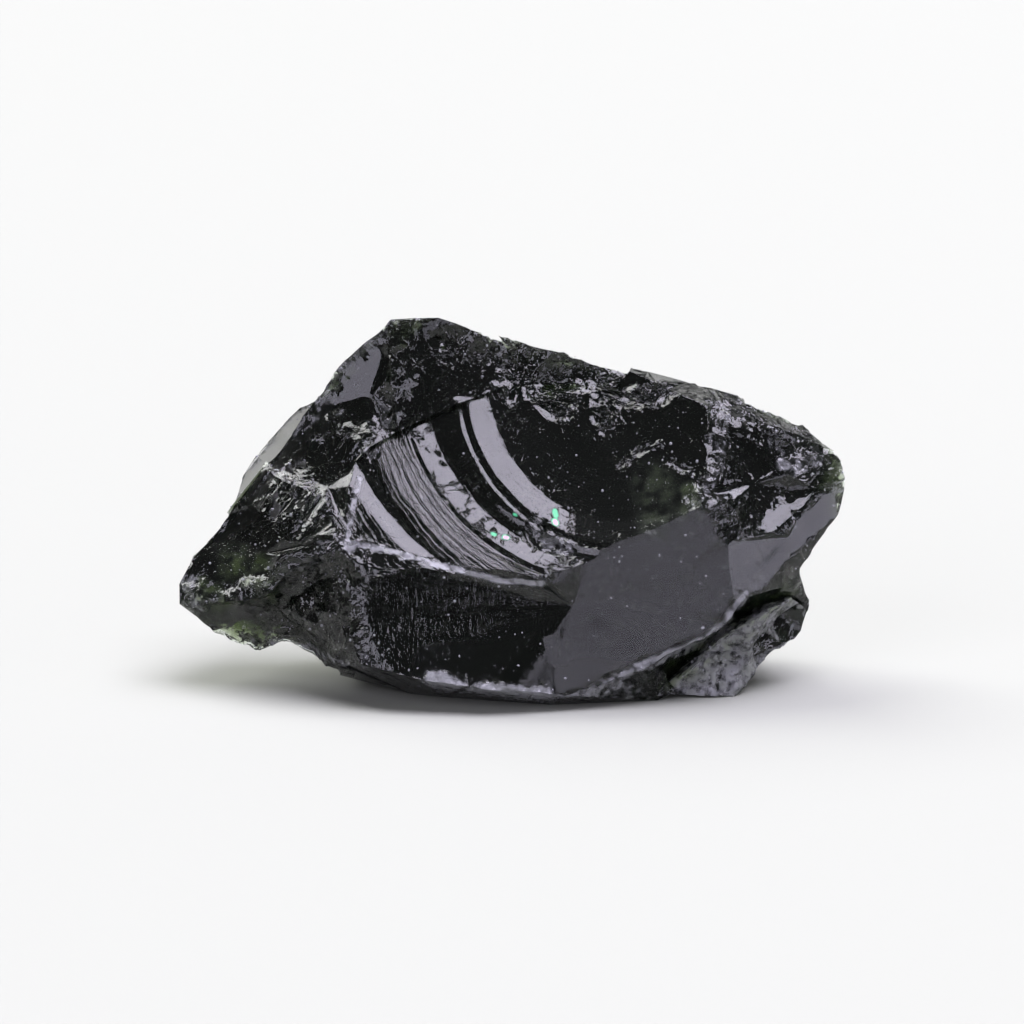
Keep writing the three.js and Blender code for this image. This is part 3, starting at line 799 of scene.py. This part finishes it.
def wear_and_painted_light_of(mesh):
    """How frosted, crumbled and so on the stone is at each of its points, and its painted glow and glints."""
    points = points_of(mesh) / MM
    seen = points @ FRONT_VIEW.T
    facing = smooth_step(normals_of(mesh) @ FRONT_VIEW[2], -0.1, 0.15)
    shares = region_shares(mesh)
    wear_and_painted_light = {kind: np.zeros(len(points)) for kind in KINDS}
    for region, finish in FINISHES_AND_PAINTED_GLOW.items():
        for kind, value in finish.items():
            wear_and_painted_light[kind] += value * shares[region]
    for stroke in STROKES:
        away = distance_to(stroke["line"], seen[:, :2])
        weight = facing * (1 - smooth_step(away, 0.6 * stroke["width"], 1.5 * stroke["width"] + 0.1))
        for kind in STROKE_KINDS:
            wear_and_painted_light[kind] = np.maximum(wear_and_painted_light[kind], weight * stroke.get(kind, 0))
    wear_and_painted_light["rings"] = shares["break"]
    # Hackles cover the left part of the front, under the rim, and the rest of the front is satin.
    front = facing * (shares["front"] + shares["dish"] + shares["blank"])
    wear_and_painted_light["hackles"] = front * (1 - smooth_step(seen[:, 0], 0.5, 4.0)) * (seen[:, 1] < RIM_HEIGHT)
    wear_and_painted_light["satin"] *= 1 - 0.8 * wear_and_painted_light["hackles"]
    return wear_and_painted_light


def shards(points, size, seed):
    """Height of a surface that is crumbled into flat facets of about that size, each tilted its own way."""
    scaled = points / size
    home = np.floor(scaled)
    best = np.full(len(points), np.inf)
    height = np.zeros(len(points))
    for step in np.ndindex(3, 3, 3):
        near = home + np.array(step) - 1
        heart = near + np.stack([scatter(near, seed + axis) for axis in range(3)], axis=1)
        tilt = 2 * np.stack([scatter(near, seed + 3 + axis) for axis in range(3)], axis=1) - 1
        offset = scaled - heart
        away = np.sum(offset**2, axis=1)
        closer = away < best
        best = np.where(closer, away, best)
        height = np.where(closer, np.sum(offset * tilt, axis=1), height)
    return height * size


DEEPEST_CHIP = -0.12
TALLEST_CHIP = 0.05


def crumble(mesh, wear_and_painted_light):
    """Breaks the worn places up into facets."""
    points = points_of(mesh) / MM
    height = 0.22 * shards(points, 0.9, seed=20) + 0.25 * shards(points, 0.45, seed=30)
    height = np.clip(height * wear_and_painted_light["crumble"], DEEPEST_CHIP, TALLEST_CHIP)
    # The foot stays flat.
    height *= smooth_step(points[:, 2], 0.02, 0.3)
    set_points(mesh, (points + height[:, None] * normals_of(mesh)) * MM)


def keep_wear_and_painted_light(mesh, wear_and_painted_light):
    for kind in KINDS:
        note = mesh.attributes.new(kind, "FLOAT", "POINT")
        note.data.foreach_set("value", wear_and_painted_light[kind].astype(np.float32))


# ---- Dust --------------------------------------------------------------------------------------------------

GRAINS = 1500
SMALLEST_GRAIN = 0.018  # radius
GRAIN_SPREAD = 0.05  # between the smallest and the largest radius
STEEPEST_DUSTY = -0.3  # upward part of the normal of the steepest face that dust stays on
LOWEST_DUST = 0.4  # over the floor


def dust_on(stone):
    """Grains of glass dust on the stone, each half sunk in its surface."""
    mesh = stone.data
    points = points_of(mesh)
    corners = np.empty(len(mesh.loops), np.int32)
    mesh.loops.foreach_get("vertex_index", corners)
    triangles = points[corners.reshape(-1, 3)]
    cross = np.cross(triangles[:, 1] - triangles[:, 0], triangles[:, 2] - triangles[:, 0])
    area = np.linalg.norm(cross, axis=1)
    up = cross[:, 2] / area
    weight = area * np.where(up > STEEPEST_DUSTY, 1, 0) * (triangles[:, 0, 2] > LOWEST_DUST * MM)
    draw = np.random.default_rng(7)
    chosen = draw.choice(len(area), GRAINS, p=weight / weight.sum())
    share = np.sort(draw.random((GRAINS, 2)), axis=1)
    weights = np.stack((share[:, 0], share[:, 1] - share[:, 0], 1 - share[:, 1]), axis=1)
    places = np.einsum("gc,gcx->gx", weights, triangles[chosen])
    radii = (SMALLEST_GRAIN + GRAIN_SPREAD * draw.random(GRAINS) ** 4) * MM
    bm = bmesh.new()
    for place, radius in zip(places, radii):
        grain = bmesh.ops.create_icosphere(bm, subdivisions=1, radius=radius)["verts"]
        squash = Matrix.Diagonal((*(0.6 + 0.8 * draw.random(3)), 1))
        bmesh.ops.transform(bm, matrix=Matrix.Translation(place) @ squash, verts=grain)
    mesh = bpy.data.meshes.new("dust")
    bm.to_mesh(mesh)
    bm.free()
    mesh.materials.append(dust_material())
    return object_of("dust", mesh)


# ---- Materials ---------------------------------------------------------------------------------------------

GLASS_IOR = 1.49
GLASS_COLOR = (0.95, 1.0, 0.95, 1)
BODY_COLOR = (0.35, 0.42, 0.2, 1)  # what the glass lets through
BODY_DENSITY = 6000
POLISH = 0.03  # roughness of a fresh break
DARK_FROST = (0.16, 0.165, 0.165, 1)
LIGHT_FROST = (0.36, 0.36, 0.4, 1)
# tint of frost under a painted green glow, for the light that shines through thin glass
FROST_WITH_PAINTED_GLOW = (0.09, 0.12, 0.04, 1)
BLADE_FROST = (0.4, 0.41, 0.36, 1)
DARK_GLOW = (0.018, 0.028, 0.018, 1)  # faint haze inside the clear glass
GREEN_GLOW = (0.05, 0.08, 0.015, 1)
GREEN_SPARK = (0.04, 0.4, 0.18, 1)
PINK_SPARK = (0.6, 0.3, 0.45, 1)
DARK_DUST = (0.12, 0.12, 0.14, 1)
LIGHT_DUST = (0.42, 0.42, 0.46, 1)
FLOOR_COLOR = (0.364, 0.374, 0.336, 1)


class Tree:
    """Short ways to add nodes to a node tree."""

    def __init__(self, tree):
        self.tree = tree

    def node(self, kind, **inputs):
        made = self.tree.nodes.new("ShaderNode" + kind)
        for name, value in inputs.items():
            self.give(made.inputs[name.replace("_", " ")], value)
        return made

    def give(self, socket, value):
        if isinstance(value, bpy.types.NodeSocket):
            self.tree.links.new(value, socket)
        else:
            socket.default_value = value

    def math(self, operation, a, b=0.0, c=0.0):
        made = self.tree.nodes.new("ShaderNodeMath")
        made.operation = operation
        for socket, value in zip(made.inputs, (a, b, c)):
            self.give(socket, value)
        return made.outputs[0]

    def vector(self, operation, a, b=(0, 0, 0), output="Vector", **inputs):
        made = self.tree.nodes.new("ShaderNodeVectorMath")
        made.operation = operation
        self.give(made.inputs[0], a)
        self.give(made.inputs[1], b)
        for name, value in inputs.items():
            self.give(made.inputs[name], value)
        return made.outputs[output]

    def noise(self, vector, size, detail=2.0, name="Fac"):
        return self.node("TexNoise", Vector=vector, Scale=1 / size, Detail=detail).outputs[name]

    def step(self, value, low, high, start=0.0, end=1.0):
        made = self.node("MapRange", From_Min=low, From_Max=high, To_Min=start, To_Max=end)
        made.interpolation_type = "SMOOTHSTEP"
        self.give(made.inputs["Value"], value)
        return made.outputs[0]

    def mix(self, share, a, b):
        made = self.tree.nodes.new("ShaderNodeMix")
        made.data_type = "RGBA"
        self.give(made.inputs[0], share)
        self.give(made.inputs[6], a)
        self.give(made.inputs[7], b)
        return made.outputs[2]


def group(name, inputs, outputs):
    """The tree of a node group with named sockets, and its nodes for what goes in and what comes out."""
    tree = bpy.data.node_groups.new(name, "ShaderNodeTree")
    for label, kind in inputs:
        tree.interface.new_socket(name=label, in_out="INPUT", socket_type="NodeSocket" + kind)
    for label, kind in outputs:
        tree.interface.new_socket(name=label, in_out="OUTPUT", socket_type="NodeSocket" + kind)
    way_in = tree.nodes.new("NodeGroupInput")
    way_out = tree.nodes.new("NodeGroupOutput")
    return tree, way_in, way_out


def facets_group():
    """Height, in millimetres, of glass that is crumbled into small flat facets."""
    tree, way_in, way_out = group("facets", (("Place", "Vector"), ("Size", "Float")), (("Height", "Float"),))
    t = Tree(tree)
    cells = t.node("TexVoronoi", Vector=way_in.outputs["Place"])
    t.give(cells.inputs["Scale"], t.math("DIVIDE", 1.0, way_in.outputs["Size"]))
    offset = t.vector("SUBTRACT", way_in.outputs["Place"], cells.outputs["Position"])
    tilt = t.vector("SUBTRACT", cells.outputs["Color"], (0.5, 0.5, 0.5))
    height = t.vector("DOT_PRODUCT", offset, tilt, output="Value")
    t.give(way_out.inputs["Height"], t.math("MULTIPLY", height, 2.0))
    return tree


def rings_group():
    """Height, in millimetres, of the fine lines on the rings of the large break, and where its spots are."""
    outputs = (("Height", "Float"), ("Spots", "Float"))
    tree, way_in, way_out = group("ring_lines", (("Place", "Vector"),), outputs)
    t = Tree(tree)
    place = way_in.outputs["Place"]
    offset = t.vector("SUBTRACT", place, tuple(BLOW))
    out = t.vector("DOT_PRODUCT", offset, tuple(FRONT_VIEW[2]), output="Value")
    along = t.vector("SCALE", tuple(FRONT_VIEW[2]), Scale=out)
    flat = t.vector("SUBTRACT", offset, along)
    radius = t.vector("LENGTH", flat, output="Value")
    wobble = t.math("MULTIPLY_ADD", t.noise(place, 1.6), 0.5, radius)
    lines = t.tree.nodes.new("ShaderNodeTexNoise")
    lines.noise_dimensions = "1D"
    t.give(lines.inputs["W"], t.math("MULTIPLY", wobble, 5.0))
    t.give(lines.inputs["Detail"], 3.0)
    t.give(lines.inputs["Scale"], 1.0)
    strength = t.math("ADD", t.step(radius, 10.0, 10.2, 0.01, 0.16), t.step(radius, 10.85, 11.0, 0.0, -0.06))
    strength = t.math("MULTIPLY", strength, t.step(radius, 12.0, 11.5, 0.12, 1.0))
    streaks = t.math("MULTIPLY", lines.outputs["Fac"], strength)
    patches = t.step(t.noise(place, 0.55, 3.0), 0.52, 0.66)
    where = t.math("MULTIPLY", t.step(radius, 8.9, 9.1), t.step(radius, 9.95, 9.8))
    where = t.math("MULTIPLY_ADD", where, 0.9, 0.06)
    t.give(way_out.inputs["Height"], streaks)
    t.give(way_out.inputs["Spots"], t.math("MULTIPLY", patches, where))
    return tree


def glass():
    """Clear green glass, crumbled and frosted where it is worn, with painted green glow and painted glints.
    """
    material = bpy.data.materials.new("moldavite_glass")
    material.use_nodes = True
    material.node_tree.nodes.clear()
    t = Tree(material.node_tree)
    output = t.node("OutputMaterial")
    object_place = t.node("TexCoord").outputs["Object"]
    place = t.vector("SCALE", object_place, Scale=1 / MM)
    # worn holds the wear, the painted green glow and the painted glints.
    worn = {}
    for kind in KINDS:
        note = t.node("Attribute")
        note.attribute_name = kind
        worn[kind] = note.outputs["Fac"]

    def grouped(tree, **inputs):
        made = t.tree.nodes.new("ShaderNodeGroup")
        made.node_tree = tree
        for name, value in inputs.items():
            t.give(made.inputs[name], value)
        return made

    facets = facets_group()
    rings = grouped(rings_group(), Place=place)
    bent = t.vector("ADD", place, t.vector("SCALE", t.noise(place, 0.8, name="Color"), Scale=0.6))
    coarse = grouped(facets, Place=bent, Size=0.7).outputs["Height"]
    fine = grouped(facets, Place=bent, Size=0.22).outputs["Height"]
    broken = t.math("ADD", t.math("MULTIPLY", coarse, 0.5), t.math("MULTIPLY", fine, 0.2))
    patchy = t.step(t.noise(place, 0.8, 3.0), 0.38, 0.6, 0.35, 1.0)
    amount = t.math("MULTIPLY", worn["crumble"], patchy)
    spots = t.math("MULTIPLY", rings.outputs["Spots"], worn["rings"])
    amount = t.math("MAXIMUM", amount, spots)
    height = t.math("MULTIPLY", broken, amount)
    height = t.math("MULTIPLY_ADD", rings.outputs["Height"], worn["rings"], height)
    # Fine hackles run down the front from the break.
    stretched = t.vector("MULTIPLY", place, (6.0, 6.0, 0.8))
    hackles = t.math("MULTIPLY", t.noise(stretched, 1.0, 3.0), 0.025)
    height = t.math("MULTIPLY_ADD", hackles, worn["hackles"], height)
    height = t.math("MULTIPLY_ADD", t.noise(place, 1.5, 2.0), 0.003, height)
    bump = t.node("Bump", Height=height, Distance=MM, Strength=1.0)

    # The more frost, the larger the share of the surface that it covers.
    grain = t.math("MULTIPLY_ADD", t.noise(place, 0.35, 5.0), 2.2, -0.6)
    cover = t.math("ADD", grain, t.math("MULTIPLY_ADD", worn["frost_and_glints"], 1.3, -1.0))
    frosting = t.math("MULTIPLY", t.step(cover, -0.15, 0.6), t.math("MULTIPLY_ADD", worn["frost_and_glints"], 0.6, 0.3))
    roughness = t.math("MULTIPLY_ADD", worn["frost_and_glints"], 0.3, POLISH)
    roughness = t.math("MULTIPLY_ADD", worn["satin"], 0.15, roughness)

    clear = t.node("BsdfPrincipled", Base_Color=GLASS_COLOR, IOR=GLASS_IOR, Transmission_Weight=1.0)
    t.give(clear.inputs["Roughness"], roughness)
    t.give(clear.inputs["Normal"], bump.outputs[0])
    tint = t.mix(t.noise(place, 1.2, 3.0), DARK_FROST, LIGHT_FROST)
    # Painted green glow, for the light that shines through thin glass: it tints the frost and the haze.
    green = t.math("MULTIPLY", worn["green"], t.step(t.noise(place, 0.7, 4.0), 0.36, 0.66))
    tint = t.mix(green, tint, FROST_WITH_PAINTED_GLOW)
    tint = t.mix(worn["pale"], tint, BLADE_FROST)
    glow = t.mix(green, DARK_GLOW, GREEN_GLOW)
    tint = t.mix(t.step(frosting, 0.0, 0.25), glow, tint)
    spark = t.mix(t.step(worn["fire"], 0.45, 0.6), GREEN_SPARK, PINK_SPARK)
    tint = t.mix(t.step(worn["fire"], 0.1, 0.3), tint, spark)
    frosted = t.node("BsdfPrincipled", Base_Color=tint, Roughness=0.45)
    t.give(frosted.inputs["Normal"], bump.outputs[0])
    share = t.math("ADD", frosting, t.math("MULTIPLY_ADD", green, 0.5, 0.06))
    share = t.math("MULTIPLY_ADD", worn["fire"], 3.0, share)
    share = t.math("MINIMUM", share, 1.0)
    both = t.node("MixShader")
    t.give(both.inputs[0], share)
    t.give(both.inputs[1], clear.outputs[0])
    t.give(both.inputs[2], frosted.outputs[0])
    body = t.node("VolumeAbsorption", Color=BODY_COLOR, Density=BODY_DENSITY)
    t.give(output.inputs["Surface"], both.outputs[0])
    t.give(output.inputs["Volume"], body.outputs[0])
    return material


def dust_material():
    material = bpy.data.materials.new("pale_dust")
    material.use_nodes = True
    t = Tree(material.node_tree)
    surface = material.node_tree.nodes["Principled BSDF"]
    place = t.vector("SCALE", t.node("TexCoord").outputs["Object"], Scale=1 / MM)
    t.give(surface.inputs["Base Color"], t.mix(t.noise(place, 0.6), DARK_DUST, LIGHT_DUST))
    surface.inputs["Roughness"].default_value = 0.7
    return material


def paint():
    material = bpy.data.materials.new("pale_paper")
    material.use_nodes = True
    surface = material.node_tree.nodes["Principled BSDF"]
    surface.inputs["Base Color"].default_value = FLOOR_COLOR
    surface.inputs["Roughness"].default_value = 0.9
    surface.inputs["Specular IOR Level"].default_value = 0.0
    return material


# ---- Stage -------------------------------------------------------------------------------------------------

FLOOR_RADIUS = 3.0
LIGHT_DISTANCE = 2.5
LAVENDER = (0.86, 0.83, 1.0)
PALE_LAVENDER = (0.88, 0.84, 1.0)
ROOM_DARKEST = 0.08  # strength of the room in front and above
ROOM_BRIGHTEST = 1.0  # and low behind
BACKDROP = 0.956


def floor():
    bm = bmesh.new()
    bmesh.ops.create_circle(bm, cap_ends=True, segments=64, radius=FLOOR_RADIUS)
    mesh = bpy.data.meshes.new("floor")
    bm.to_mesh(mesh)
    bm.free()
    mesh.materials.append(paint())
    return object_of("floor", mesh)


def direction(azimuth, elevation):
    """Unit vector towards a light. Azimuth 0 is the camera's side, and 90 is to the right."""
    turn, lift = math.radians(azimuth), math.radians(elevation)
    return Vector((math.sin(turn) * math.cos(lift), -math.cos(turn) * math.cos(lift), math.sin(lift)))


def soft_box(name, azimuth, elevation, width, height, radiance, color=(1, 1, 1)):
    data = bpy.data.lights.new(name, "AREA")
    data.shape = "RECTANGLE"
    data.size, data.size_y = width, height
    data.energy = radiance * math.pi * width * height
    data.color = color
    lamp = bpy.data.objects.new(name, data)
    towards = direction(azimuth, elevation)
    lamp.location = towards * LIGHT_DISTANCE
    lamp.rotation_euler = towards.to_track_quat("Z", "Y").to_euler()
    lamp.visible_camera = False
    bpy.context.scene.collection.objects.link(lamp)


def ceiling_light(left, right, near, far, height, radiance):
    data = bpy.data.lights.new("overhead", "AREA")
    data.shape = "RECTANGLE"
    data.size, data.size_y = right - left, far - near
    data.energy = radiance * math.pi * data.size * data.size_y
    data.color = PALE_LAVENDER
    lamp = bpy.data.objects.new("overhead", data)
    lamp.location = ((left + right) / 2, (near + far) / 2, height)
    lamp.visible_camera = False
    bpy.context.scene.collection.objects.link(lamp)


def world():
    sky = bpy.data.worlds.new("studio")
    sky.use_nodes = True
    nodes, links = sky.node_tree.nodes, sky.node_tree.links
    nodes.clear()
    output = nodes.new("ShaderNodeOutputWorld")
    mix = nodes.new("ShaderNodeMixShader")
    path = nodes.new("ShaderNodeLightPath")
    room = nodes.new("ShaderNodeBackground")
    room.inputs["Color"].default_value = (1, 1, 1, 1)
    place = nodes.new("ShaderNodeTexCoord")
    split = nodes.new("ShaderNodeSeparateXYZ")
    lift = nodes.new("ShaderNodeMath")
    lift.operation = "SUBTRACT"
    fade = nodes.new("ShaderNodeMapRange")
    fade.inputs["From Min"].default_value = 0.0
    fade.inputs["From Max"].default_value = 0.6
    fade.inputs["To Min"].default_value = ROOM_DARKEST
    fade.inputs["To Max"].default_value = ROOM_BRIGHTEST
    links.new(place.outputs["Generated"], split.inputs[0])
    links.new(split.outputs["Y"], lift.inputs[0])
    links.new(split.outputs["Z"], lift.inputs[1])
    links.new(lift.outputs[0], fade.inputs["Value"])
    links.new(fade.outputs[0], room.inputs["Strength"])
    seen = nodes.new("ShaderNodeBackground")
    seen.inputs["Color"].default_value = (BACKDROP, BACKDROP, BACKDROP, 1)
    links.new(path.outputs["Is Camera Ray"], mix.inputs[0])
    links.new(room.outputs[0], mix.inputs[1])
    links.new(seen.outputs[0], mix.inputs[2])
    links.new(mix.outputs[0], output.inputs["Surface"])
    bpy.context.scene.world = sky


CAMERA_ELEVATION = 12
CAMERA_DISTANCE = 0.40
FRAME_WIDTH = 0.04608  # of what the camera sees, at the stone
SENSOR = 36
AIM = 0.007555  # how far the line of sight passes over the origin


def camera():
    data = bpy.data.cameras.new("camera")
    data.sensor_width = SENSOR
    data.lens = SENSOR * CAMERA_DISTANCE / FRAME_WIDTH
    data.clip_start = 0.01
    eye = bpy.data.objects.new("camera", data)
    bpy.context.scene.collection.objects.link(eye)
    towards = direction(0, CAMERA_ELEVATION)
    upward = Vector((0, math.sin(math.radians(CAMERA_ELEVATION)), math.cos(math.radians(CAMERA_ELEVATION))))
    eye.location = upward * AIM + towards * CAMERA_DISTANCE
    eye.rotation_euler = towards.to_track_quat("Z", "Y").to_euler()
    bpy.context.scene.camera = eye


stone = carved_stone()
finish_shape(stone)
wear_and_painted_light = wear_and_painted_light_of(stone.data)
crumble(stone.data, wear_and_painted_light)
keep_wear_and_painted_light(stone.data, wear_and_painted_light)
stone.data.materials.clear()
stone.data.materials.append(glass())
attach(stone, "root")
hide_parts("moldavite")

dust = dust_on(stone)
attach(dust, "root")

floor()
world()
ceiling_light(left=-0.1, right=1.6, near=-0.95, far=1.1, height=2.0, radiance=9.5)
soft_box("left", azimuth=-33, elevation=24, width=1.4, height=1.4, radiance=3.8, color=LAVENDER)
soft_box("right", azimuth=72, elevation=8, width=2.0, height=0.72, radiance=3.8, color=LAVENDER)
soft_box("right_front", azimuth=22, elevation=8.5, width=1.6, height=0.78, radiance=2.0, color=LAVENDER)
soft_box("back_left", azimuth=-140, elevation=48, width=1.8, height=1.8, radiance=7.5)
camera()
bpy.context.scene.view_settings.view_transform = "Standard"
